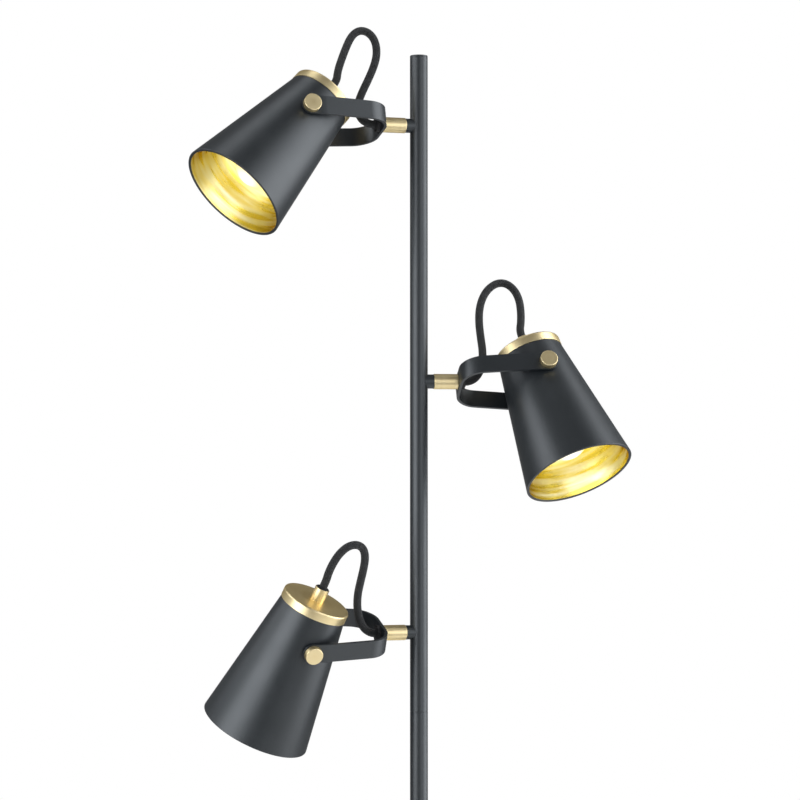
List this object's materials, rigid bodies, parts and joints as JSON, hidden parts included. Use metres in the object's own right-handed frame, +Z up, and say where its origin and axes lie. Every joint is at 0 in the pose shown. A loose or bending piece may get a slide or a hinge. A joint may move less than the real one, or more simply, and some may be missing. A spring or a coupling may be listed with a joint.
{
  "type": "floor lamp",
  "caption": "Floor lamp with black conical spot heads on brass fittings, each held in a turning yoke with tilting pivots on short arms along a slim black pole over a round weighted base.",
  "frame": {"origin": "middle of the base's underside, on the pole's axis", "axes": "+Z up the pole, +X to the right as pictured, +Y away from the viewer"},
  "size_m": [0.3928, 0.2615, 1.5276],
  "materials": {
    "black_paint": "matte powder coat",
    "brass": "satin",
    "steel": "plain zinc",
    "cast_iron": "raw",
    "pad": "foam",
    "black_rubber": "matte",
    "black_plastic": "matte",
    "white_plastic": "matte",
    "bulb_glass": "frosted, lit",
    "textile_cord": "woven sleeve"
  },
  "bodies": {
    "stand": {"base_pad": "pad", "base_weight": "cast_iron", "base_cover": "black_paint", "cord_bush": "black_rubber", "terminal_block": "white_plastic", "pole_nipple": "steel", "pole_washer": "steel", "pole_nut": "steel", "pole_foot": "steel", "pole_lower": "black_paint", "pole_joiner": "steel", "pole_upper": "black_paint", "pole_cap": "black_paint", "arm_nipples": "steel", "yoke_nuts": "steel", "top_arm_stub": "black_paint", "top_arm_collar": "brass", "middle_arm_stub": "black_paint", "middle_arm_collar": "brass", "bottom_arm_stub": "black_paint", "bottom_arm_collar": "brass"},
    "top_yoke_set": {"top_yoke": "black_paint", "top_flex_cord": "textile_cord"},
    "top_shade_set": {"top_shade": "black_paint", "top_shade_cap": "brass", "top_cord_gland": "brass", "top_cord_grip": "black_plastic", "top_holder_nipple": "steel", "top_lampholder": "black_plastic", "top_bulb_base": "steel", "top_bulb_glass": "bulb_glass", "top_pivot_screws": "brass", "top_pivot_spacers": "black_plastic", "top_pivot_nuts": "steel"},
    "middle_yoke_set": {"middle_yoke": "black_paint", "middle_flex_cord": "textile_cord"},
    "middle_shade_set": {"middle_shade": "black_paint", "middle_shade_cap": "brass", "middle_cord_gland": "brass", "middle_cord_grip": "black_plastic", "middle_holder_nipple": "steel", "middle_lampholder": "black_plastic", "middle_bulb_base": "steel", "middle_bulb_glass": "bulb_glass", "middle_pivot_screws": "brass", "middle_pivot_spacers": "black_plastic", "middle_pivot_nuts": "steel"},
    "bottom_yoke_set": {"bottom_yoke": "black_paint", "bottom_flex_cord": "textile_cord"},
    "bottom_shade_set": {"bottom_shade": "black_paint", "bottom_shade_cap": "brass", "bottom_cord_gland": "brass", "bottom_cord_grip": "black_plastic", "bottom_holder_nipple": "steel", "bottom_lampholder": "black_plastic", "bottom_bulb_base": "steel", "bottom_bulb_glass": "bulb_glass", "bottom_pivot_screws": "brass", "bottom_pivot_spacers": "black_plastic", "bottom_pivot_nuts": "steel"}
  },
  "joints": [
    {"name": "top_swivel", "type": "hinge", "parent": "stand", "child": "top_yoke_set", "pos_m": [0, 0, 1.436], "axis": [-0.9492, -0.3148, 0], "range_deg": [-175.55, 144.45]},
    {"name": "top_tilt", "type": "hinge", "parent": "top_yoke_set", "child": "top_shade_set", "pos_m": [-0.10621, -0.03523, 1.436], "axis": [0.3033, -0.9144, 0.2681], "range_deg": [-16.84, 53.16], "deforming": ["top_flex_cord"]},
    {"name": "middle_swivel", "type": "hinge", "parent": "stand", "child": "middle_yoke_set", "pos_m": [0, 0, 1.2053], "axis": [0.9894, 0.1454, 0], "range_deg": [-132.52, 187.48]},
    {"name": "middle_tilt", "type": "hinge", "parent": "middle_yoke_set", "child": "middle_shade_set", "pos_m": [0.11071, 0.01627, 1.2053], "axis": [-0.129, 0.8777, -0.4614], "range_deg": [-44.3, 25.7], "deforming": ["middle_flex_cord"]},
    {"name": "bottom_swivel", "type": "hinge", "parent": "stand", "child": "bottom_yoke_set", "pos_m": [0, 0, 0.98], "axis": [-0.9395, -0.3427, 0], "range_deg": [-136.77, 183.23]},
    {"name": "bottom_tilt", "type": "hinge", "parent": "bottom_yoke_set", "child": "bottom_shade_set", "pos_m": [-0.10512, -0.03834, 0.98], "axis": [0.3149, -0.8633, -0.3944], "range_deg": [-41.73, 28.27], "deforming": ["bottom_flex_cord"]}
  ]
}
